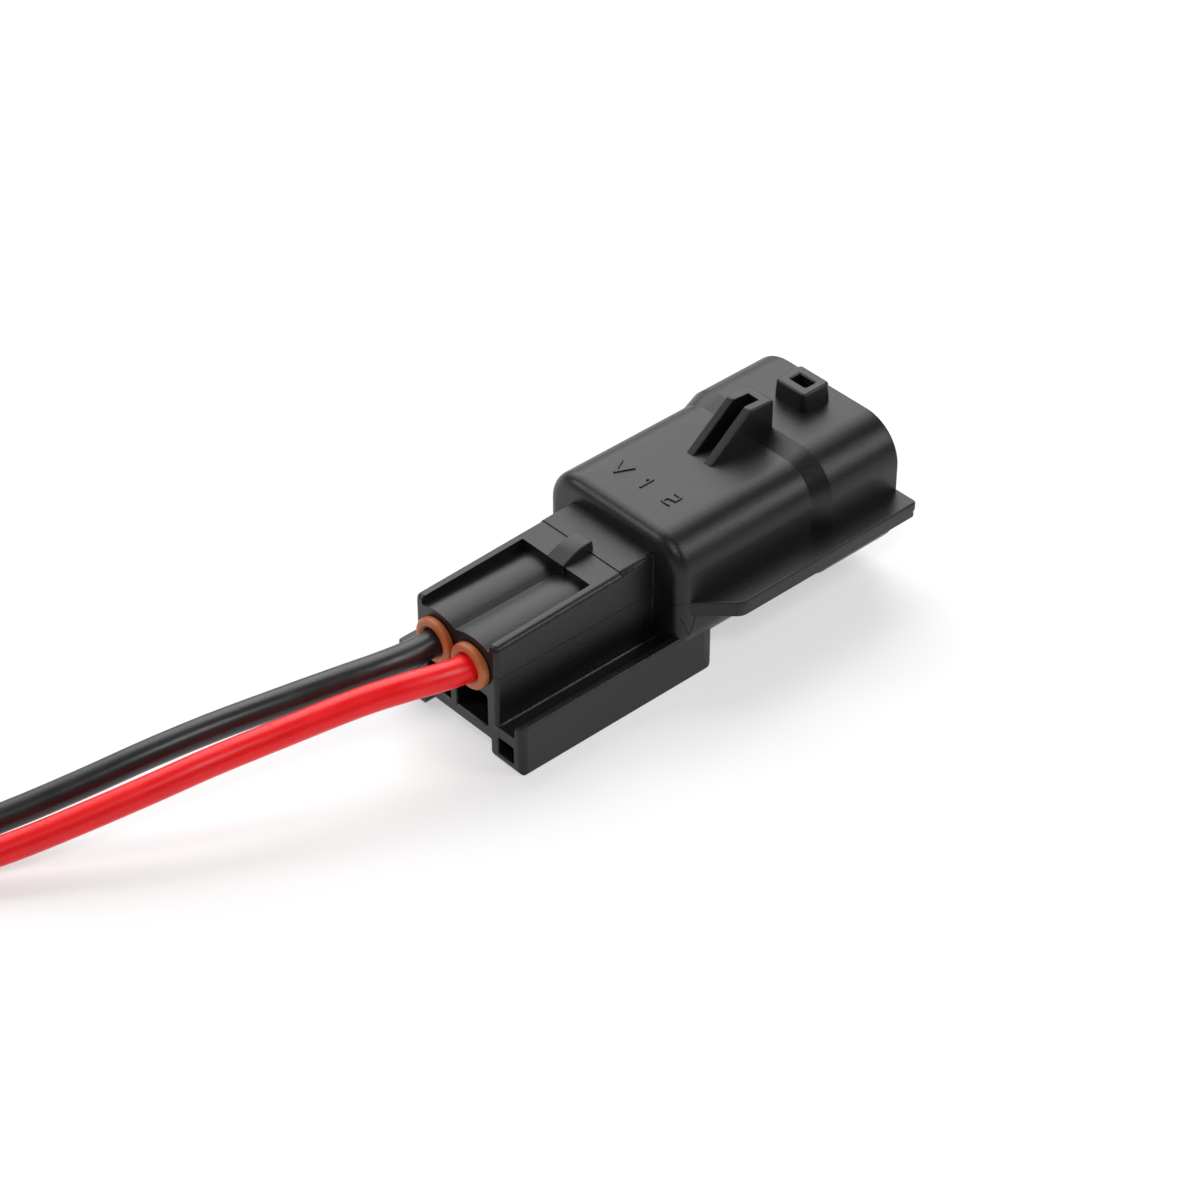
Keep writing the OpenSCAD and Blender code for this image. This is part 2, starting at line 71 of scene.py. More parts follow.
target = Vector((rear_x + 15.9 * MM, 0.0, 5.47 * MM))
direction = Vector((
    math.cos(ELEVATION) * math.cos(AZIMUTH),
    math.cos(ELEVATION) * math.sin(AZIMUTH),
    math.sin(ELEVATION),
))
camera_data = bpy.data.cameras.new("camera")
camera_data.lens = LENS
camera_data.sensor_width = 36
camera_data.clip_start = 0.01
camera = bpy.data.objects.new("camera", camera_data)
camera.location = target + direction * DISTANCE
camera.rotation_euler = direction.to_track_quat("Z", "Y").to_euler()
bpy.context.scene.collection.objects.link(camera)
bpy.context.scene.camera = camera
print("camera at", [round(v / MM, 1) for v in camera.location], "mm")

# %% [markdown]
# ## Route of the leads
#
# Two single-core leads of 200 mm leave the seals straight, sag under their own weight and lie on the
# floor, where what is left of them is wound together in one small coil. The points are those that the
# CAD model follows, from the housing's rear face. A Catmull-Rom curve goes through every point, which
# is why it was chosen: the route stays where its points say, and its slope never jumps.

# %% Points of the routes
LEAD_D = 2.4 * MM
LEAD_LENGTH = 200 * MM

RED_ROUTE = [
    (6.3, -2.2, 8.7), (3, -2.2, 8.7), (-1, -2.2, 8.7), (-3.4, -2, 9), (-6.4, -1.4, 9.3),
    (-10.5, -0.3, 9.3), (-16.6, 1.3, 8.8), (-22.5, 3.2, 7.9), (-27.2, 5.2, 6.5), (-32, 7.5, 4.9),
    (-37, 10, 3.3), (-42, 12.6, 2.1), (-46.4, 14.9, 1.6),
]
BLACK_ROUTE = [
    (6.3, 2.2, 8.7), (3, 2.2, 8.7), (-1, 2.15, 8.65), (-3.4, 2.1, 8.8), (-6.4, 2.3, 9.1),
    (-10, 3, 9.2), (-14.3, 4.2, 8.95), (-20.1, 6.25, 8.15), (-25, 8.2, 7), (-30, 10.5, 5.3),
    (-34.6, 12.8, 3.7), (-39.4, 15.2, 2.3), (-43.3, 17.1, 1.6),
]
COIL_CENTRE = np.array([rear_x - 66 * MM, 9.5 * MM])
COIL_Z = 1.6 * MM
RED_TURN_R = 11.9 * MM
BLACK_TURN_R = 14.4 * MM
CLIMB_FROM = math.radians(225)
CLIMB_TO = math.radians(300)
TURN_POINTS = 72


def length_of(points):
    """Sum of the distances from each point to the next."""
    return float(np.linalg.norm(np.diff(points, axis=0), axis=1).sum())


def smooth_curve(points, steps=5):
    """Catmull-Rom curve: between two points the place is a cubic in t, whose slope at each point is
    half the step from the point before it to the point after it."""
    p = np.vstack([2 * points[0] - points[1], points, 2 * points[-1] - points[-2]])
    a, b, c, d = (p[i:len(p) - 3 + i, None, :] for i in range(4))
    t = np.linspace(0, 1, steps, endpoint=False)[None, :, None]
    cubic = (-a + 3 * b - 3 * c + d) * t**3 + (2 * a - 5 * b + 4 * c - d) * t**2 + (c - a) * t
    return np.vstack([(b + cubic / 2).reshape(-1, 3), points[-1:]])


def lead_path(route, radius):
    """The smooth route, a straight run to where it meets the circle of that radius, then turns of
    the circle, anticlockwise from above. Late in the first turn the lead climbs by its own diameter, in
    half a cosine wave, so the second turn lies on the first."""
    points = np.array(route) * MM + [rear_x, 0, 0]
    open_run = smooth_curve(points)
    away = COIL_CENTRE - points[-1, :2]
    distance = np.linalg.norm(away)
    heading = math.atan2(away[1], away[0]) - math.asin(radius / distance)
    start = heading - math.pi / 2
    meets = COIL_CENTRE + radius * np.array([math.cos(start), math.sin(start)])
    straight = np.linspace(points[-1], [*meets, COIL_Z], 6)[1:]
    rest = LEAD_LENGTH - length_of(open_run) - length_of(np.vstack([points[-1:], straight]))
    turn = np.linspace(0, rest / radius, TURN_POINTS)[1:]
    rise = np.clip((turn - CLIMB_FROM) / (CLIMB_TO - CLIMB_FROM), 0, 1)
    z = COIL_Z + LEAD_D * (1 - np.cos(math.pi * rise)) / 2
    around = start + turn
    ring = np.column_stack([
        COIL_CENTRE[0] + radius * np.cos(around),
        COIL_CENTRE[1] + radius * np.sin(around),
        z,
    ])
    print("open run", round(length_of(open_run) / MM, 1), "mm, turns", round(turn[-1] / math.tau, 2))
    return np.vstack([open_run, straight, ring])


red_path = lead_path(RED_ROUTE, RED_TURN_R)
black_path = lead_path(BLACK_ROUTE, BLACK_TURN_R)

# %% [markdown]
# ## Surface effects
#
# Three effects are used by more than one material, so each is a node group: the fine grain that a
# mould leaves on plastic and rubber, a slow change over the surface from the flow of the melt, and
# the parting line where the mould's halves met. They read Object coordinates, which are the frame's
# own metres because every finished piece sits at the origin. The patterns never slide or stretch.

# %% Node helper and groups


def add_node(tree, kind, inputs=None, **settings):
    """Adds a node, sets it, and gives its sockets a value or a link."""
    made = tree.nodes.new("ShaderNode" + kind)
    for key, value in settings.items():
        setattr(made, key, value)
    for key, value in (inputs or {}).items():
        if isinstance(value, bpy.types.NodeSocket):
            tree.links.new(value, made.inputs[key])
        else:
            made.inputs[key].default_value = value
    return made


def new_group(name, inputs, outputs):
    """Empty shader group with named float inputs, which have a starting value, and outputs."""
    group = bpy.data.node_groups.new(name, "ShaderNodeTree")
    for title, value in inputs.items():
        socket = group.interface.new_socket(title, in_out="INPUT", socket_type="NodeSocketFloat")
        socket.default_value = value
    for title in outputs:
        group.interface.new_socket(title, in_out="OUTPUT", socket_type="NodeSocketFloat")
    return group, group.nodes.new("NodeGroupInput"), group.nodes.new("NodeGroupOutput")


# %% Fine grain: two sizes of noise, the finer one weaker
grain, grain_in, grain_out = new_group("mould_grain", {"Scale": 9000, "Fine Part": 0.4}, ["Height"])
place = add_node(grain, "TexCoord").outputs["Object"]
coarse = add_node(grain, "TexNoise", {"Vector": place, "Scale": grain_in.outputs["Scale"], "Detail": 2})
finer = add_node(grain, "Math", {0: grain_in.outputs["Scale"], 1: 2.7}, operation="MULTIPLY")
fine = add_node(grain, "TexNoise", {"Vector": place, "Scale": finer.outputs[0], "Detail": 1})
weak = add_node(grain, "Math", {0: fine.outputs["Fac"], 1: grain_in.outputs["Fine Part"]},
                operation="MULTIPLY")
both = add_node(grain, "Math", {0: coarse.outputs["Fac"], 1: weak.outputs[0]})
grain.links.new(both.outputs[0], grain_out.inputs["Height"])

# %% Melt flow: slow noise drawn out along X, the way the melt ran from the gate
flow, flow_in, flow_out = new_group("melt_flow", {"Scale": 300, "Stretch": 0.25}, ["Shade"])
place = add_node(flow, "TexCoord").outputs["Object"]
stretch = add_node(flow, "CombineXYZ", {"X": flow_in.outputs["Stretch"], "Y": 1.0, "Z": 1.0})
drawn = add_node(flow, "VectorMath", {0: place, 1: stretch.outputs[0]}, operation="MULTIPLY")
slow = add_node(flow, "TexNoise", {"Vector": drawn.outputs[0], "Detail": 4,
                                   "Scale": flow_in.outputs["Scale"]})
even = add_node(flow, "MapRange", {"Value": slow.outputs["Fac"], "From Min": 0.3, "From Max": 0.7})
flow.links.new(even.outputs["Result"], flow_out.inputs["Shade"])

# %% Parting line: a narrow ridge at one height, 1 minus the distance from it over its half width
parting, parting_in, parting_out = new_group(
    "parting_line", {"Height": 0.0, "Half Width": 0.05 * MM}, ["Ridge"])
place = add_node(parting, "TexCoord").outputs["Object"]
split = add_node(parting, "SeparateXYZ", {0: place})
away = add_node(parting, "Math", {0: split.outputs["Z"], 1: parting_in.outputs["Height"]},
                operation="SUBTRACT")
apart = add_node(parting, "Math", {0: away.outputs[0]}, operation="ABSOLUTE")
ridge = add_node(parting, "MapRange", {
    "Value": apart.outputs[0], "From Min": 0.0, "From Max": parting_in.outputs["Half Width"],
    "To Min": 1.0, "To Max": 0.0,
})
parting.links.new(ridge.outputs["Result"], parting_out.inputs["Ridge"])
print("groups:", [group.name for group in bpy.data.node_groups])

# %% [markdown]
# ## Materials
#
# Each material is one Principled BSDF. Its colour and roughness drift a little with the melt flow, and
# a bump gives it grain. The same four lines could be written out for each. Four helpers keep them
# short, so that what differs between two materials is easy to see: colour, roughness and scale.

# %% Material helpers


def use_group(tree, group, inputs):
    """Places a group in a material, with its own values."""
    return add_node(tree, "Group", inputs, node_tree=group)


def new_material(name, color, roughness, **fixed):
    """Material with a Principled BSDF, its colour, roughness and other plain values."""
    material = bpy.data.materials.new(name)
    material.use_nodes = True
    material.diffuse_color = (*color, 1)
    shader = material.node_tree.nodes["Principled BSDF"]
    shader.inputs["Base Color"].default_value = (*color, 1)
    shader.inputs["Roughness"].default_value = roughness
    for title, value in fixed.items():
        shader.inputs[title.replace("_", " ")].default_value = value
    return material, material.node_tree, shader


def vary(tree, shader, mask, dark, light, rough_low, rough_high):
    """Base Color runs from dark to light with the mask, and Roughness from low to high."""
    color = add_node(tree, "Mix", {"Factor": mask, 6: (*dark, 1), 7: (*light, 1)}, data_type="RGBA")
    tree.links.new(color.outputs[2], shader.inputs["Base Color"])
    rough = add_node(tree, "MapRange", {"Value": mask, "To Min": rough_low, "To Max": rough_high})
    tree.links.new(rough.outputs["Result"], shader.inputs["Roughness"])


def raise_up(tree, shader, height, distance, below=None):
    """Bump of that distance in metres, on top of another bump's normal, if one is given."""
    bump = add_node(tree, "Bump", {"Height": height, "Distance": distance, "Strength": 1.0})
    if below:
        tree.links.new(below.outputs["Normal"], bump.inputs["Normal"])
    tree.links.new(bump.outputs["Normal"], shader.inputs["Normal"])
    return bump


# %% [markdown]
# ### Black plastic
#
# The housing is glass-filled nylon, satin, with the fine grain of an eroded mould. It could be a plain
# black with low roughness, but that would mirror the lamps as sharp streaks. Grain and a middling
# roughness spread them into the soft grey of real nylon, and the parting line crosses each fin's edge.

# %% Black plastic of the housing
plastic, tree, shader = new_material("housing_plastic", (0.008, 0.008, 0.0085), 0.34,
                                     Specular_IOR_Level=0.34)
shade = use_group(tree, flow, {"Scale": 260.0, "Stretch": 0.2}).outputs["Shade"]
vary(tree, shader, shade, (0.006, 0.006, 0.0065), (0.010, 0.010, 0.0105), 0.31, 0.38)
bump = raise_up(tree, shader, use_group(tree, grain, {"Scale": 7000.0}).outputs["Height"], 0.02 * MM)
line = use_group(tree, parting, {"Height": 8.66 * MM, "Half Width": 0.05 * MM}).outputs["Ridge"]
raise_up(tree, shader, line, 0.03 * MM, bump)
print(plastic.name, "has", len(tree.nodes), "nodes")

# %% [markdown]
# ### Insulation
#
# The leads' skin is soft and glossy, pressed round the strands through a die, so its grain runs along
# them. A coat on top would give two highlights. One layer with a low specular level keeps the red
# deep where the softbox is mirrored in it.

# %% Insulation of the leads
red_skin, tree, shader = new_material("red_insulation", (0.82, 0.002, 0.006), 0.36, Specular_IOR_Level=0.38)
shade = use_group(tree, flow, {"Scale": 500.0, "Stretch": 0.6}).outputs["Shade"]
vary(tree, shader, shade, (0.76, 0.001, 0.004), (0.86, 0.003, 0.008), 0.32, 0.42)
raise_up(tree, shader, use_group(tree, grain, {"Scale": 4000.0}).outputs["Height"], 0.006 * MM)

black_skin, tree, shader = new_material("black_insulation", (0.01, 0.01, 0.011), 0.36,
                                        Specular_IOR_Level=0.52)
shade = use_group(tree, flow, {"Scale": 500.0, "Stretch": 0.6}).outputs["Shade"]
vary(tree, shader, shade, (0.008, 0.008, 0.009), (0.013, 0.013, 0.014), 0.32, 0.42)
raise_up(tree, shader, use_group(tree, grain, {"Scale": 4000.0}).outputs["Height"], 0.006 * MM)
print(red_skin.name, "and", black_skin.name, "made")

# %% [markdown]
# ### Metals
#
# The strands are bare copper and the terminals are stamped from tinned brass. Both could share one
# metal with two colours. They are kept apart, because the strip of brass was rolled, so its pattern is
# drawn out along X, and the cut strands have none.

# %% Copper of the bare ends
copper, tree, shader = new_material("copper_strand", (0.75, 0.33, 0.16), 0.3, Metallic=1.0)
shade = use_group(tree, flow, {"Scale": 2500.0, "Stretch": 1.0}).outputs["Shade"]
vary(tree, shader, shade, (0.55, 0.21, 0.10), (0.83, 0.40, 0.21), 0.25, 0.42)
raise_up(tree, shader, use_group(tree, grain, {"Scale": 16000.0}).outputs["Height"], 0.004 * MM)
print(copper.name, "made")

# %% Tinned brass of the terminals
tinned, tree, shader = new_material("tinned_brass", (0.72, 0.68, 0.58), 0.28, Metallic=1.0)
shade = use_group(tree, flow, {"Scale": 1200.0, "Stretch": 0.1}).outputs["Shade"]
vary(tree, shader, shade, (0.62, 0.57, 0.46), (0.8, 0.77, 0.69), 0.22, 0.38)
raise_up(tree, shader, use_group(tree, grain, {"Scale": 7000.0}).outputs["Height"], 0.003 * MM)
print(tinned.name, "made")

# %% [markdown]
# ### Silicone, grey plastic and black nylon
#
# The seals are rust-coloured silicone, duller than the plastics. The retainer is a lighter moulding, so
# that a fitter can see in the dark mouth whether it is pushed home. The tie that holds the coil is
# black nylon. None of them lets enough light through to need a subsurface, so the plain shader serves.

# %% Silicone of the seals
silicone, tree, shader = new_material("seal_silicone", (0.42, 0.11, 0.026), 0.45)
shade = use_group(tree, flow, {"Scale": 700.0, "Stretch": 1.0}).outputs["Shade"]
vary(tree, shader, shade, (0.38, 0.095, 0.022), (0.46, 0.125, 0.032), 0.4, 0.52)
raise_up(tree, shader, use_group(tree, grain, {"Scale": 9000.0}).outputs["Height"], 0.008 * MM)

# %% Grey plastic of the retainer
grey_plastic, tree, shader = new_material("retainer_plastic", (0.42, 0.43, 0.44), 0.42)
shade = use_group(tree, flow, {"Scale": 400.0, "Stretch": 1.0}).outputs["Shade"]
vary(tree, shader, shade, (0.38, 0.39, 0.4), (0.46, 0.47, 0.48), 0.38, 0.5)
raise_up(tree, shader, use_group(tree, grain, {"Scale": 11000.0}).outputs["Height"], 0.01 * MM)

# %% Black nylon of the tie
tie_nylon, tree, shader = new_material("tie_nylon", (0.025, 0.025, 0.027), 0.4)
shade = use_group(tree, flow, {"Scale": 500.0, "Stretch": 1.0}).outputs["Shade"]
vary(tree, shader, shade, (0.02, 0.02, 0.022), (0.034, 0.034, 0.036), 0.34, 0.48)
raise_up(tree, shader, use_group(tree, grain, {"Scale": 9000.0}).outputs["Height"], 0.008 * MM)

# %% [markdown]
# ### Solids that keep their CAD mesh
#
# The retainer, the terminals and the tie are seen small or not at all, and their CAD meshes already
# have the right shape. They could be drawn again like the housing. A material is enough for them.

# %% Materials on the carried-over solids
carried_over = {
    "front_retainer": grey_plastic, "red_tab_terminal": tinned, "black_tab_terminal": tinned,
    "red_conductor": copper, "black_conductor": copper, "coil_tie": tie_nylon,
}
for title, material in carried_over.items():
    carried = bpy.data.objects[title].data
    carried.materials.clear()
    carried.materials.append(material)
print("materials:", [material.name for material in bpy.data.materials])

# %% [markdown]
# ## Leads
#
# A lead is a circle carried along its route. A curve object with a round bevel would do it too, but its
# ends would be plain discs. Here each ring of the tube stands square to the route, with one of its
# axes level, and the cut ends are modelled: a flat ring of insulation round the bare strands.

# %% Tube along a path
SIDES = 32
CORE_D = 1.4 * MM


def mesh_object(name, points, faces):
    """A mesh object at the origin, from its points and its faces, with smooth shading."""
    mesh = bpy.data.meshes.new(name)
    mesh.from_pydata([tuple(p) for p in points], [], [tuple(f) for f in faces])
    mesh.shade_smooth()
    made = bpy.data.objects.new(name, mesh)
    bpy.context.scene.collection.objects.link(made)
    return made


def tube_along(name, path, diameter, core):
    """Tube on a grid of two parameters, the place along the path and the angle round it:
    point = centre + radius (cos(angle) side + sin(angle) up), where side is level and square to the
    path, and up is square to both. Each end is closed by rings of smaller radius, and the faces of its
    core take the second material."""
    heading = np.gradient(path, axis=0)
    heading /= np.linalg.norm(heading, axis=1)[:, None]
    side = np.cross(heading, [0, 0, 1])
    side /= np.linalg.norm(side, axis=1)[:, None]
    up = np.cross(side, heading)
    edge = 0.12 * MM
    inset = [core / 2, core / 2 + 0.01 * MM, diameter / 2 - edge, diameter / 2 - 0.3 * edge]
    depth = [0.25 * MM, 0, 0, 0.3 * edge]
    centres = [path[:1] + d * heading[:1] for d in depth] + [path[:1] + edge * heading[:1]]
    centres += [path[1:-1], path[-1:] - edge * heading[-1:]]
    centres += [path[-1:] - d * heading[-1:] for d in reversed(depth)]
    centre = np.vstack(centres)
    ends = len(inset)
    radius = np.r_[inset, np.full(len(path), diameter / 2), inset[::-1]]
    pick = np.r_[[0] * ends, np.arange(len(path)), [-1] * ends]
    angle = np.linspace(0, math.tau, SIDES, endpoint=False)
    ring = (np.cos(angle)[None, :, None] * side[pick][:, None, :]
            + np.sin(angle)[None, :, None] * up[pick][:, None, :])
    points = (centre[:, None, :] + radius[:, None, None] * ring).reshape(-1, 3)
    rings = len(radius)
    i, k = np.meshgrid(np.arange(rings - 1), np.arange(SIDES), indexing="ij")
    a = i * SIDES + k
    b = i * SIDES + (k + 1) % SIDES
    faces = np.stack([a, a + SIDES, b + SIDES, b], axis=-1).reshape(-1, 4)
    loop = np.arange(SIDES)
    faces = [*faces, loop, (loop + (rings - 1) * SIDES)[::-1]]
    made = mesh_object(name, points, faces)
    slots = np.zeros(len(faces), np.int32)
    slots[:SIDES] = slots[-2 - SIDES:] = 1
    made.data.polygons.foreach_set("material_index", slots)
    return made


# %% The two leads
red_lead = tube_along("red_lead_insulated", red_path, LEAD_D, CORE_D)
black_lead = tube_along("black_lead_insulated", black_path, LEAD_D, CORE_D)
for lead, side, path, node, skin in [
    (red_lead, -1, red_path, "red_lead", red_skin),
    (black_lead, 1, black_path, "black_lead", black_skin),
]:
    lead.data.materials.append(skin)
    lead.data.materials.append(copper)
    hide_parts(node, "lead_coil")
    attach(lead, "connector")
    print(lead.name, "length", round(length_of(path) / MM, 1), "mm")

# %% [markdown]
# ## Housing: how its forms are drawn
#
# The real housing is one moulding in glass-filled nylon. No edge of a moulding is sharp: each has a
# small radius from the mould, which is what catches the light. So each form here is a profile carried
# round an outline with rounded corners, the radii being part of both. Solids drawn like this join
# cleanly, which is why they were chosen over the CAD mesh, whose edges are sharp. The numbers are in
# millimetres from the housing's rear face, as on a drawing, and the finished mesh is scaled once.

# %% Solids from rings
WELD = 0.001


def welded(solid):
    """Merges points nearer than a thousandth of a millimetre, and turns every face outward."""
    work = bmesh.new()
    work.from_mesh(solid.data)
    bmesh.ops.remove_doubles(work, verts=work.verts, dist=WELD)
    bmesh.ops.recalc_face_normals(work, faces=work.faces)
    work.to_mesh(solid.data)
    work.free()
    return solid


def loft(name, rings):
    """Solid through rings of equally many points: a grid of faces, and a flat cap at each end."""
    rings = np.asarray(rings, float)
    count, around = rings.shape[:2]
    i, k = np.meshgrid(np.arange(count - 1), np.arange(around), indexing="ij")
    a = i * around + k
    b = i * around + (k + 1) % around
    grid = np.stack([a, b, b + around, a + around], axis=-1).reshape(-1, 4)
    loop = np.arange(around)
    caps = [loop[::-1], loop + (count - 1) * around]
    return welded(mesh_object(name, rings.reshape(-1, 3), [*grid, *caps]))


def tell(solid):
    """Prints a solid's size along the three axes and its number of faces."""
    size = np.ptp([v.co[:] for v in solid.data.vertices], axis=0)
    print(solid.name, " x ".join(f"{length:.1f}" for length in size), "mm,",
          len(solid.data.polygons), "faces")


# %% Outlines with rounded corners


def unit(v):
    """Each vector divided by its length."""
    return v / np.linalg.norm(v, axis=-1, keepdims=True)


def arcs(corners, radii, steps):
    """Centre, signed radius and directions of the arc at each corner of a closed outline, drawn
    anticlockwise. With n1 and n2 the outward normals of a corner's two sides, the centre lies
    radius (n1 + n2) / (1 + n1·n2) inside the corner, and the directions turn evenly from n1 to n2.
    An inner corner has a negative radius."""
    corners = np.asarray(corners, float)
    before = unit(corners - np.roll(corners, 1, axis=0))
    after = np.roll(before, -1, axis=0)
    bend = before[:, 0] * after[:, 1] - before[:, 1] * after[:, 0]
    turn = np.arctan2(bend, (before * after).sum(axis=1))
    radius = np.where(bend < 0, -1, 1) * np.broadcast_to(radii, len(corners))
    n1 = np.column_stack([before[:, 1], -before[:, 0]])
    n2 = np.column_stack([after[:, 1], -after[:, 0]])
    centre = corners - radius[:, None] * (n1 + n2) / (1 + (n1 * n2).sum(axis=1))[:, None]
    angle = np.arctan2(n1[:, 1], n1[:, 0])[:, None] + np.linspace(0, 1, steps) * turn[:, None]
    return centre, radius, np.stack([np.cos(angle), np.sin(angle)], axis=-1)


def outline(corners, radii, steps=8):
    """Closed outline with rounded corners: point = centre + radius direction, corner by corner."""
    centre, radius, direction = arcs(corners, radii, steps)
    return (centre[:, None, :] + radius[:, None, None] * direction).reshape(-1, 2)


def open_path(points, radii, steps=8):
    """Path with rounded bends between its two ends: the closed outline without its end corners."""
    return outline(points, [0, *radii, 0], steps)[steps - 1:1 - steps]


def rectangle(width, height, middle=(0, 0)):
    """Corners of a rectangle, anticlockwise."""
    return np.array([(-1, -1), (1, -1), (1, 1), (-1, 1)]) * [width / 2, height / 2] + middle


def band(points, width):
    """Corners of a band of that width along an open path, anticlockwise: forwards on its right side
    and back on its left. With n1 and n2 the normals of the two runs at a point, its corners stand
    width / 2 (n1 + n2) / (1 + n1·n2) off it."""
    points = np.asarray(points, float)
    run = unit(np.diff(points, axis=0))
    normal = np.column_stack([run[:, 1], -run[:, 0]])
    n1, n2 = np.vstack([normal[:1], normal]), np.vstack([normal, normal[-1:]])
    off = width / 2 * (n1 + n2) / (1 + (n1 * n2).sum(axis=1))[:, None]
    return np.vstack([points + off, (points - off)[::-1]])


# %% Profiles carried round an outline
X, Y, Z = range(3)


def swept(name, corners, radii, profile, axis, steps=8):
    """Profile carried round an outline. The profile gives pairs of place along the axis and growth:
    point = centre + (radius + growth) direction, so every ring is parallel to the outline."""
    centre, radius, direction = arcs(corners, radii, steps)
    along, growth = np.asarray(profile, float).T
    reach = radius[None, :, None, None] + growth[:, None, None, None]
    flat = (centre[None, :, None, :] + reach * direction[None]).reshape(len(along), -1, 2)
    parts = [flat[..., 0], flat[..., 1]]
    parts.insert(axis, np.broadcast_to(along[:, None], flat.shape[:2]))
    return loft(name, np.stack(parts, axis=-1))


def rounded_ends(start, end, edge, steps=4):
    """Profile of a prism from start to end whose two rims are quarter circles of radius edge."""
    corners = [(start, -2 * edge), (start, 0), (end, 0), (end, -2 * edge)]
    return open_path(corners, [edge, edge], steps)[1:-1]


def flared(start, mouth, end, flare):
    """Profile of a cutter from start to end, which widens by flare outside its mouth."""
    way = math.copysign(1, start - end)
    return [(start, flare), (mouth, flare), (mouth - way * flare, 0), (end, 0)]


def block(name, low, high):
    """Box between two corners."""
    middle = ((low[Y] + high[Y]) / 2, (low[Z] + high[Z]) / 2)
    corners = rectangle(high[Y] - low[Y], high[Z] - low[Z], middle)
    return loft(name, [np.insert(corners, X, x, axis=1) for x in (low[X], high[X])])


# %% [markdown]
# ### Cuts, joins and rounded edges
#
# Cuts and joins are exact booleans between closed solids that overlap well. A fast boolean could leave
# gaps where two faces lie close together. A bevel then rounds only the outer edges that a boolean left
# sharp: an edge counts when the surface turns away there, not when it makes an inner corner.

# %% Cuts, joins and rounded edges


def combine(base, how, *others):
    """Union, difference or intersection of a solid with others, which are used up by it."""
    for other in others:
        step = base.modifiers.new(how, "BOOLEAN")
        step.operation = how
        step.solver = "EXACT"
        step.object = other
    bpy.context.view_layer.update()
    made = bpy.data.meshes.new_from_object(base.evaluated_get(bpy.context.evaluated_depsgraph_get()))
    base.modifiers.clear()
    base.data = made
    for other in others:
        bpy.data.objects.remove(other)
    return base


def round_edges(solid, radius, turn=50, segments=2, low=(-99, -99, -99), high=(99, 99, 99)):
    """Rounds the outer edges where the surface turns by more than the angle, between two corners."""
    work = bmesh.new()
    work.from_mesh(solid.data)
    bmesh.ops.remove_doubles(work, verts=work.verts, dist=2 * WELD)
    chosen = [edge for edge in work.edges if len(edge.link_faces) == 2
              and edge.calc_face_angle_signed() > math.radians(turn)
              and all(low[i] <= v.co[i] <= high[i] for v in edge.verts for i in range(3))]
    bmesh.ops.bevel(work, geom=chosen, offset=radius, offset_type="OFFSET", segments=segments,
                    profile=0.5, affect="EDGES", clamp_overlap=True, miter_outer="ARC")
    bmesh.ops.recalc_face_normals(work, faces=work.faces)
    work.to_mesh(solid.data)
    work.free()
    print(solid.name, "has", len(chosen), "edges rounded")
    return solid


# %% [markdown]
# ### Shell
#
# The shell is the hood that the mating half pushes into. A box with bevelled edges, less a smaller box,
# would give it. Here one profile is carried round a rounded rectangle: the soft rear shoulder, the long
# side, the slope to the wider front, the rim with its lead-in, and the hollow back to its floor. Every
# ring is parallel to the outline, so the wall is even all round, which is what a moulding needs.

# %% Shell
AXIS_Z = 8.7
SHELL_X = 17.3
FLOOR_X = 22.0
STEP_X = 32.6
FLARE_X = 34.5
MOUTH_X = 42.6
FLARE = 0.6
WALL = 1.2
SHOULDER_R = 1.25
SHELL_CORNERS = rectangle(16.6, 11.9, (0, AXIS_Z))
SHELL_RADII = [2.9, 2.9, 3.45, 3.45]

shell_path = [
    (FLOOR_X, -2), (FLOOR_X, -WALL), (FLARE_X, -WALL), (FLARE_X, FLARE - WALL),
    (MOUTH_X - 0.5, FLARE - WALL), (MOUTH_X, 0), (MOUTH_X, FLARE), (FLARE_X, FLARE), (STEP_X, 0),
    (SHELL_X, 0), (SHELL_X, -2),
]
shell_bends = [0.3, 0.1, 0.1, 0.15, 0.12, 0.3, 0.25, 0.25, SHOULDER_R]
housing = swept("moulded_housing", SHELL_CORNERS, SHELL_RADII, open_path(shell_path, shell_bends), X, 14)
tell(housing)

# %% [markdown]
# ### Fins
#
# A flat fin stands out from each side of the shell, with a slanted rear end. Half way up its edge is
# the parting line, where the two halves of the mould met a tenth of a millimetre apart. Two plates,
# one on the other, would show it. One outline in plan, carried upwards along a profile with a small
# step in it, gives the same with no second solid.

# %% Fins
fin_profile = open_path([(7.1, -0.2), (7.1, -0.1), (7.9, -0.1), (7.9, 0), (8.7, 0), (8.7, -0.2)],
                        [0.1, 0.03, 0.03, 0.18], 4)
fin_plan = [(17.6, -7.56), (21.83, -11.3), (MOUTH_X - 0.02, -11.3), (MOUTH_X - 0.02, -8), (20, -8)]
fin_radii = np.array([0.22, 1.5, 0.4, 0.3, 0.3])
for way in (-1, 1):
    plan = np.array(fin_plan) * [1, -way]
    combine(housing, "UNION", swept("fin", plan[::-way], fin_radii[::-way], fin_profile, Z))
tell(housing)

# %% [markdown]
# ### Groove under each fin
#
# Under the root of each fin a fine groove marks off a small triangular web. It could be cut with a
# thin V on each side. Here one V goes right through from side to side, less a shell that is smaller by
# the groove's depth, so it follows the rounded shoulder at an even depth.

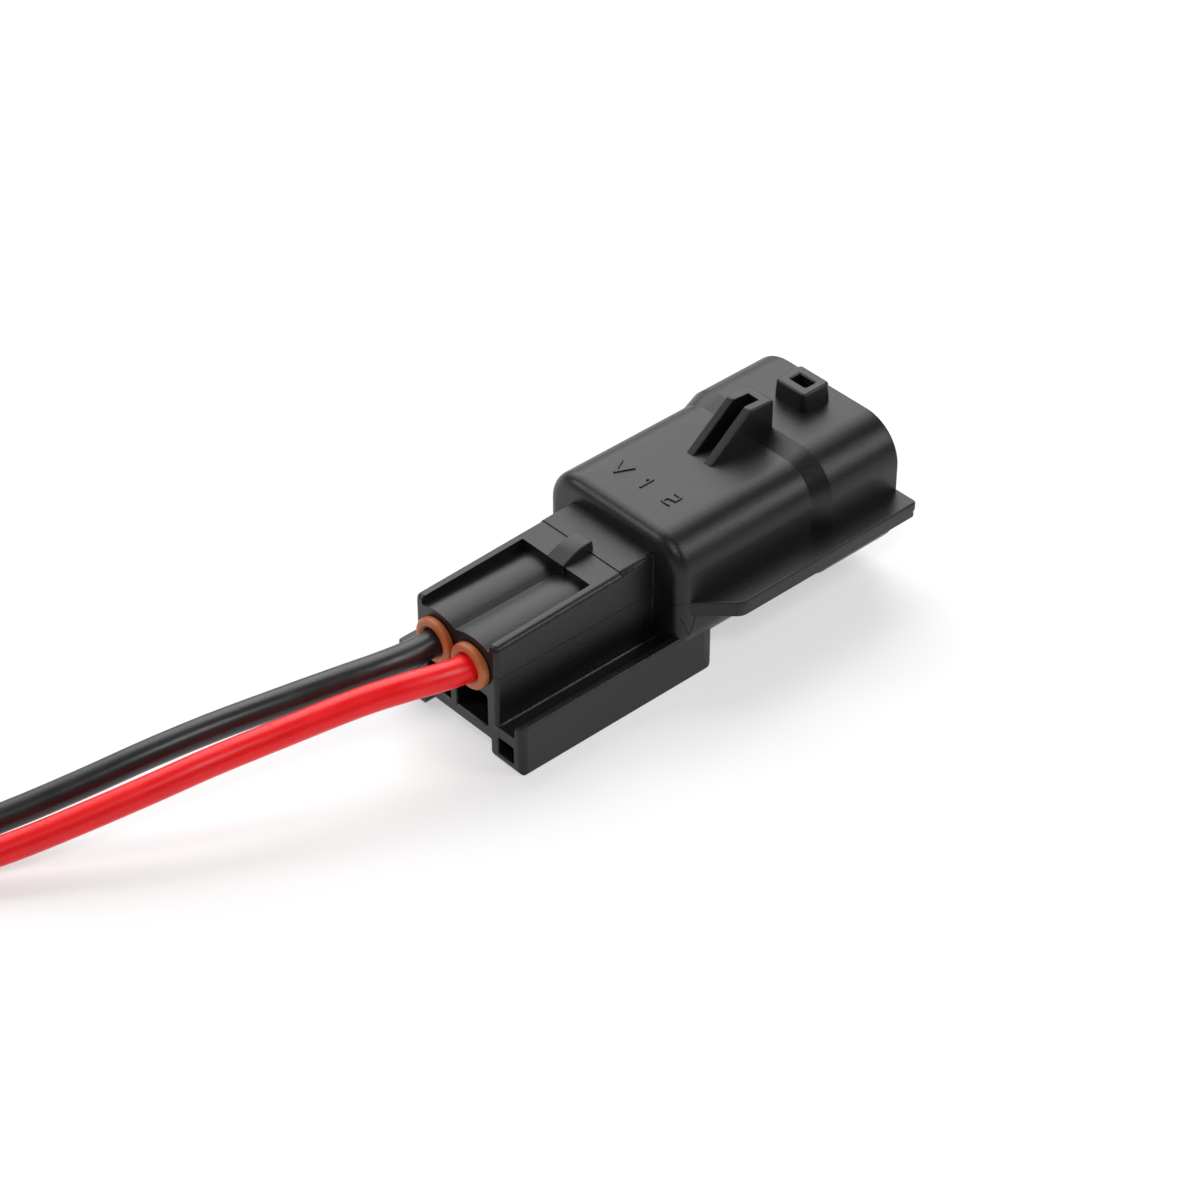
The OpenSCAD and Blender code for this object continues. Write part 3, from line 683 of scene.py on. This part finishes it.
# %% Groove under each fin
GROOVE_DEPTH = 0.07
GROOVE_WIDTH = 0.09
groove_path = [(17.75, 7.15), (18.45, 5.2), (19.2, 7.15)]
groove = swept("groove", band(groove_path, GROOVE_WIDTH), 0.02, [(-9, 0), (9, 0)], Y, 3)
inner = np.array(shell_path[-3:]) + [(0, -GROOVE_DEPTH), (GROOVE_DEPTH, -GROOVE_DEPTH), (GROOVE_DEPTH, 0)]
combine(groove, "DIFFERENCE", swept("inner", SHELL_CORNERS, SHELL_RADII,
                                    open_path(inner, [SHOULDER_R - GROOVE_DEPTH]), X, 14))
tell(groove)
combine(housing, "DIFFERENCE", groove)

# %% [markdown]
# ### Latch guard
#
# The guard is a wedge that shields the mating half's latch, with a slot along its middle, so that its
# walls are no thicker than the shell's. It could be a scaled box. Its side view is drawn instead, as on
# the mould's drawing, and carried across, so its long slope and its tall end get their own radii.

# %% Latch guard
guard = swept("guard", [(26.46, 14.15), (34.5, 14.15), (34.5, 18.1), (31.8, 18.3)], [0.2, 0.2, 0.25, 0.5],
              rounded_ends(-1.5, 1.5, 0.18), Y)
combine(guard, "DIFFERENCE", block("slot", (25, -0.625, 14), (33.5, 0.625, 19)))
round_edges(guard, 0.12)
tell(guard)
combine(housing, "UNION", guard)

# %% [markdown]
# ### Nib
#
# The nib near the mouth gives the mating half's latch something to catch on. It is wider at its foot,
# so that it leaves the mould, and has a square pocket, because a solid lump that thick would sink in as
# it cools. A taper made by scaling would tilt its rim. The profile's growth keeps the rim round.

# %% Nib
nib_plan = rectangle(3.1, 3.6, (39.45, 0))
nib = swept("nib", nib_plan, 0.4, open_path([(14.9, 0.13), (17.05, 0), (17.05, -0.3)], [0.25]), Z)
combine(nib, "DIFFERENCE", swept("pocket", rectangle(1.2, 1.9, (39.45, 0)), 0.15,
                                 flared(18, 17.05, 15.45, 0.12), Z))
tell(nib)
combine(housing, "UNION", nib)

# %% [markdown]
# ### Raised marks
#
# The top carries an arrow and the numbers of the two ways, a tenth of a millimetre high. On a mould
# they are engraved, which is easier than cutting away the steel round them, so on the part they stand
# up. Blender's text objects would need a font. Each mark is instead a band of even width along a path,
# with the draft that lets it leave the mould.

# %% Arrow and way numbers
MARK_X = 20.8
one = [(-0.09, 0), (0.09, 0), (0.09, 1.6), (-0.07, 1.6), (-0.42, 1.25), (-0.42, 1.02), (-0.09, 1.31)]
two = band([(0, 1.52), (0.8, 1.52), (0.8, 0.86), (0, 0.7), (0, 0.09), (0.86, 0.09)], 0.18)
marks = [band([(22.3, 4.25), (20.75, 3.45), (22.35, 2.68)], 0.24)]
for figure, left in [(one, 0.45), (two, -2.2)]:
    across, upward = np.array(figure).T
    marks.append(np.column_stack([MARK_X + upward, left - across]))
for mark in marks:
    combine(housing, "UNION", swept("mark", mark, 0.04, [(14.4, 0.03), (14.73, 0), (14.76, -0.03)], Z, 3))
print(len(marks), "marks raised")

# %% [markdown]
# ### Rear body
#
# The rear body holds the two seals. It could be a box, but its top rises two degrees towards the shell,
# steps up by a tenth of a millimetre behind the stop block, and rolls over at its rear end by a quarter
# circle. So it is lofted along X through sections whose height and width follow those three rules.

# %% Rear body
BODY_HALF = 5.1
BODY_TOP = 11.8
TOP_SLOPE = math.tan(math.radians(2))
END_R = 0.45
quarter = np.linspace(0, math.pi / 2, 7)
stations = [(END_R * (1 - math.cos(a)), END_R * (1 - math.sin(a)), 0) for a in quarter]
stations += [(13.8, 0, 0), (13.81, 0, 0.08), (13.84, 0, 0.1), (18, 0, 0.1)]
rings = []
for x, inset, rise in stations:
    top = BODY_TOP + x * TOP_SLOPE - inset + rise
    half = BODY_HALF - inset
    right = [(half + 0.5, 1.97), (half + 0.5, 3.7), (half, 3.78), (half, top)]
    section = right + [(-y, z) for y, z in right[::-1]]
    bends = [0, 0.02, 0.32, 0.55]
    rings.append(np.insert(outline(section, bends + bends[::-1]), X, x, axis=1))
body = loft("body", rings)
tell(body)

# %% [markdown]
# ### Recess with two crowns
#
# A recess in the top keeps the wall over the round seal bores even, so two crowns stand up in it, one
# over each bore. They could be added after a flat cut. A cutter whose underside already has the two
# crowns makes recess and crowns in one go, with no seam between them.

# %% Recess with two crowns
HALF_PITCH = 2.2
CROWN_R = 4.9
CROWN_HALF = 1.7
CROWN_Z = 11.45
RECESS_Z = 10.95
RECESS_HALF = 4.2
RECESS_END = 11
across = np.linspace(-CROWN_HALF, CROWN_HALF, 22)
crown = np.column_stack([across, CROWN_Z - CROWN_R + np.sqrt(CROWN_R**2 - across**2)])
section = [(-RECESS_HALF, 15), (-RECESS_HALF, 11.1), *(crown - [HALF_PITCH, 0]), (0, RECESS_Z),
           *(crown + [HALF_PITCH, 0]), (RECESS_HALF, 11.1), (RECESS_HALF, 15)]
recess = loft("recess", [np.insert(section, X, x, axis=1) for x in (-1, RECESS_END)])
combine(body, "DIFFERENCE", recess)
round_edges(body, 0.13, low=(-1, -6, 9), high=(13.5, 6, 14))
tell(body)

# %% [markdown]
# ### Stop block and its seams
#
# A small block closes the recess towards the shell, with a hollow ramp on its rear side. A wedge would
# have flat sides and a flat ramp. A loft through cross-sections along the ramp's curve gives it splayed
# feet as well. Two low bands, one over the other, mark where the body meets the shell.

# %% Stop block and its seams
ramp = open_path([(10.86, 11.2), (10.86, 12.32), (12.75, 13.2), (14.2, 13.2), (14.2, 11.2)],
                 [0.12, 4, 0.12])
rings = []
for x, top in ramp:
    half = 1.02 - 0.03 * (x - 10.86)
    spread = 0.16 * (top - 10.9)
    section = [(-half - spread, 10.9), (half + spread, 10.9), (half, top), (-half, top)]
    rings.append(np.insert(outline(section, [0, 0, 0.12, 0.12]), X, x, axis=1))
combine(body, "UNION", loft("stop", rings))
for middle, tall, x in [(6.7, 4, 17.08), (10.56, 3.8, 17.18)]:
    combine(body, "UNION", swept("seam", rectangle(10.34, tall, (0, middle)), [0.07, 0.07, 0.5, 0.5],
                                 rounded_ends(x, 18.2, 0.05), X))
tell(body)

# %% [markdown]
# ### Base
#
# The base slides onto a fixing clip: two feet, the plate between them, and a rail along each edge. Its
# cross-section is carried along X, and its ends are rounded in plan and from the side. Cutting it with
# two rounded prisms would do that. Holding each ring's points within limits that follow quarter
# circles gives the same shape without a boolean. It starts a hair inside the body's rear face, because
# two faces in one plane can leave stray edges when they are joined.

# %% Base
BASE_X = 0.02
BASE_LENGTH = 21.4
BASE_HALF = 8
BASE_TOP = 5
half_section = [(4.25, 0), (BASE_HALF, 0), (BASE_HALF, BASE_TOP), (7.15, BASE_TOP), (7.15, 3.75)]
left = [(-y, z) for y, z in half_section[::-1]]
section = outline([(4.25, 1.95), *half_section, *left, (-4.25, 1.95)],
                  [0.2, 0.75, 0.25, 0.2, 0.2, 0.15, 0.15, 0.2, 0.2, 0.25, 0.75, 0.2])


def drawn_in(distance, radius):
    """How far a quarter circle of that radius draws in its side at a distance from the end."""
    left_over = np.clip(radius - distance, 0, radius)
    return radius - np.sqrt(radius**2 - left_over**2)


closer = 1 - np.cos(np.linspace(0, math.pi / 2, 9))
rings = []
for x in [*(0.8 * closer), *(BASE_LENGTH - closer[::-1])]:
    front = BASE_LENGTH - x
    side = BASE_HALF - max(drawn_in(x, 0.8), drawn_in(front, 0.35))
    floor_z = max(drawn_in(x, 0.6), drawn_in(front, 1))
    held = np.clip(section, [-side, floor_z], [side, BASE_TOP - drawn_in(x, 0.45)])
    rings.append(np.insert(held, X, x + BASE_X, axis=1))
base = loft("base", rings)
tell(base)
combine(body, "UNION", base)

# %% [markdown]
# ### Core-outs and bores
#
# The rear face has windows, which keep the walls of a moulding even, and the two seal bores. They could
# be dark patches on a flat face. They are cut to their real depth, so that their shade is right from
# every side, and each cutter flares at its mouth, which leaves a fine chamfer round the opening.

# %% Core-outs and bores
cutters = [
    swept("window", rectangle(3.9, 3.2, (-1.85, 4.6)), 0.2, flared(-1, 0, 12, 0.1), X),
    swept("window", rectangle(2.9, 3.2, (2.35, 4.6)), 0.2, flared(-1, 0, 12, 0.1), X),
]
for way in (-1, 1):
    foot = rectangle(1.88, 1.73, (way * 6.01, 1.735))
    bore = rectangle(3.9, 3.9, (way * HALF_PITCH, AXIS_Z))
    cutters += [
        swept("foot_window", foot, 0.15, flared(-1, 0, 14, 0.1), X),
        swept("bore", bore, 1.95, flared(-1, 0, 6.6, 0.1), X, 16),
    ]
print(len(cutters), "openings in the rear face")
combine(body, "DIFFERENCE", *cutters)
combine(housing, "UNION", body)
tell(housing)

# %% [markdown]
# ### Inside of the mouth
#
# Behind the bores run the terminals' cavities. Each ends in a slot that its tab passes through, and
# the retainer's prongs and arms have their own channels. All are seen through the mouth past the
# retainer. Plain boxes cut them, since no edge in there catches the light. Last, a key stands on each
# side of the shell's floor, and lets only the right mating half in.

# %% Inside of the mouth
ARM_Y = 5.6
KEY_Y = 5
cutters = []
for way in (-1, 1):
    y = way * HALF_PITCH
    arm = way * ARM_Y
    cutters += [
        block("cavity", (6.5, y - 1.45, AXIS_Z - 1.45), (19, y + 1.45, AXIS_Z + 1.45)),
        block("tab_slot", (18.9, y - 0.95, AXIS_Z - 0.6), (23, y + 0.95, AXIS_Z + 0.6)),
        block("channel", (12.8, y - 0.95, 6.4), (23, y + 0.95, 7.3)),
        block("arm_slot", (17.9, arm - 0.8, 7.2), (23, arm + 0.8, 10.2)),
    ]
combine(housing, "DIFFERENCE", *cutters)
for way in (-1, 1):
    key = block("key", (26, way * KEY_Y - 0.5, 3.7), (STEP_X, way * KEY_Y + 0.5, 4.75))
    combine(housing, "UNION", key)
tell(housing)

# %% [markdown]
# ### From the drawing to the frame
#
# Each finished piece is moved from the drawing's millimetres to the frame's metres by its points, so the
# object itself stays at the origin, unturned and unscaled. Smooth shading alone would smear its flat
# faces. Sharp edges above 35 degrees and normals weighted by area keep them flat.

# %% From the drawing to the frame
SHARP = math.radians(35)


def finish_piece(piece, node, material):
    """Scales a piece, gives it its material, and lets it stand for a node on the fixed body."""
    mesh = piece.data
    points = np.empty(len(mesh.vertices) * 3)
    mesh.vertices.foreach_get("co", points)
    points = points.reshape(-1, 3) * MM + [rear_x, 0, 0]
    mesh.vertices.foreach_set("co", points.ravel())
    mesh.shade_smooth()
    mesh.set_sharp_from_angle(angle=SHARP)
    mesh.materials.clear()
    mesh.materials.append(material)
    piece.modifiers.new("flat_faces", "WEIGHTED_NORMAL").keep_sharp = True
    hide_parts(node)
    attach(piece, "connector")
    print(piece.name, "has", len(mesh.polygons), "faces")


finish_piece(housing, "housing", plastic)

# %% [markdown]
# ## Wire seals
#
# Each seal is a turned form: a profile of radius against place along the axis, carried once round. A
# screw modifier could turn it. The grid made here closes on itself both ways, so it has no seam. Three
# ribs press against the bore, the neck is held by the terminal's wings, and the soft collar closes the
# mouth of the bore. It bulges a little over the edge of the bore, as squeezed silicone does.

# %% Turned seals


def turned(name, profile, y, z, around=64):
    """Closed profile of (place, radius) carried round an axis along X: point = (place,
    y + radius cos(angle), z + radius sin(angle)), a grid that closes on itself both ways."""
    profile = np.asarray(profile, float)
    angle = np.linspace(0, math.tau, around, endpoint=False)
    grid = np.stack([
        np.broadcast_to(profile[:, :1], (len(profile), around)),
        y + profile[:, 1:] * np.cos(angle),
        z + profile[:, 1:] * np.sin(angle),
    ], axis=-1)
    i, k = np.meshgrid(np.arange(len(profile)), np.arange(around), indexing="ij")
    j, m = (i + 1) % len(profile), (k + 1) % around
    faces = np.stack([i * around + k, j * around + k, j * around + m, i * around + m], axis=-1)
    return welded(mesh_object(name, grid.reshape(-1, 3), faces.reshape(-1, 4)))


NECK_R = 1.6
seal_corners = [(-0.55, 1.22), (-0.8, 1.5), (-0.8, 1.85), (-0.62, 2.1), (-0.05, 2.1), (0, NECK_R)]
seal_bends = [0.12, 0.2, 0.15, 0.2, 0.1, 0.02]
for rib_x in (0.9, 2.3, 3.7):
    seal_corners += [(rib_x - 0.35, NECK_R), (rib_x - 0.15, 1.93),
                     (rib_x + 0.15, 1.93), (rib_x + 0.35, NECK_R)]
    seal_bends += [0.05, 0.12, 0.12, 0.05]
seal_corners += [(4.4, NECK_R), (4.4, 1.48), (6.1, 1.48), (6.1, 1.22)]
seal_bends += [0.04, 0.04, 0.08, 0.04]
seal_outline = outline(seal_corners, seal_bends, 6)
for way, node in [(-1, "red_wire_seal"), (1, "black_wire_seal")]:
    finish_piece(turned(node + "_moulded", seal_outline, way * HALF_PITCH, AXIS_Z), node, silicone)

# %% [markdown]
# ## Floor
#
# A pale card, as under a product in a catalogue. Lamps bright enough to turn it white would burn out the
# tops of the part. So half of what the camera sees of it is plain white light, and the other half is
# the lit card, which keeps the shadow. Mirrored in the part or seen through glass, it is the same mix.

# %% Floor
FLOOR_HALF = 1.5
WHITE_SHARE = 0.5
floor = mesh_object("floor", np.insert(rectangle(2 * FLOOR_HALF, 2 * FLOOR_HALF), Z, 0, axis=1),
                    [[0, 1, 2, 3]])
card, tree, shader = new_material("floor_card", (0.93, 0.93, 0.93), 0.9)
shade = use_group(tree, flow, {"Scale": 20.0, "Stretch": 1.0}).outputs["Shade"]
vary(tree, shader, shade, (0.925, 0.925, 0.925), (0.935, 0.935, 0.935), 0.85, 0.95)
paths = add_node(tree, "LightPath").outputs
mirrored = add_node(tree, "Math", {0: paths["Is Glossy Ray"], 1: paths["Is Transmission Ray"]},
                    operation="MAXIMUM")
seen = add_node(tree, "Math", {0: paths["Is Camera Ray"], 1: mirrored.outputs[0]}, operation="MAXIMUM")
share = add_node(tree, "Math", {0: seen.outputs[0], 1: WHITE_SHARE}, operation="MULTIPLY")
white = add_node(tree, "Emission", {"Strength": 1.0})
mixed = add_node(tree, "MixShader", {0: share.outputs[0], 1: shader.outputs[0], 2: white.outputs[0]})
tree.links.new(mixed.outputs[0], tree.nodes["Material Output"].inputs["Surface"])
floor.data.materials.append(card)
print("floor", 2 * FLOOR_HALF, "m wide")

# %% [markdown]
# ## World and lamps
#
# A black part shows its form only by what it mirrors. One bright world would make all its faces the
# same grey, so the world is dim and each family of faces has its own lamp. The softbox stands beyond
# the part, opposite the camera, and gives the tops their even grey. Three small lamps, on its right,
# on its left and above the camera, draw the bright lines along the rounded edges.

# %% World and lamps
world = bpy.data.worlds.new("studio")
bpy.context.scene.world = world
world.use_nodes = True
background = world.node_tree.nodes["Background"]
background.inputs["Color"].default_value = (1, 1, 1, 1)
background.inputs["Strength"].default_value = 0.135


def area_light(name, place, size, power, aim=(0, 0, 0.008)):
    """Square soft light at place, in metres, turned towards aim."""
    data = bpy.data.lights.new(name, "AREA")
    data.size = size
    data.energy = power
    lamp = bpy.data.objects.new(name, data)
    lamp.location = place
    lamp.rotation_euler = (Vector(place) - Vector(aim)).to_track_quat("Z", "Y").to_euler()
    bpy.context.scene.collection.objects.link(lamp)
    print(name, size, "m wide,", power, "W")


area_light("softbox", (0.17, 0.319, 0.374), 0.56, 3.5)
area_light("right_edge", (0.263, -0.314, 0.287), 0.2, 0.8)
area_light("left_edge", (-0.31, 0.289, 0.265), 0.12, 0.6)
area_light("front_edge", (-0.211, -0.243, 0.383), 0.08, 0.6)
bpy.context.scene.view_settings.view_transform = "Standard"
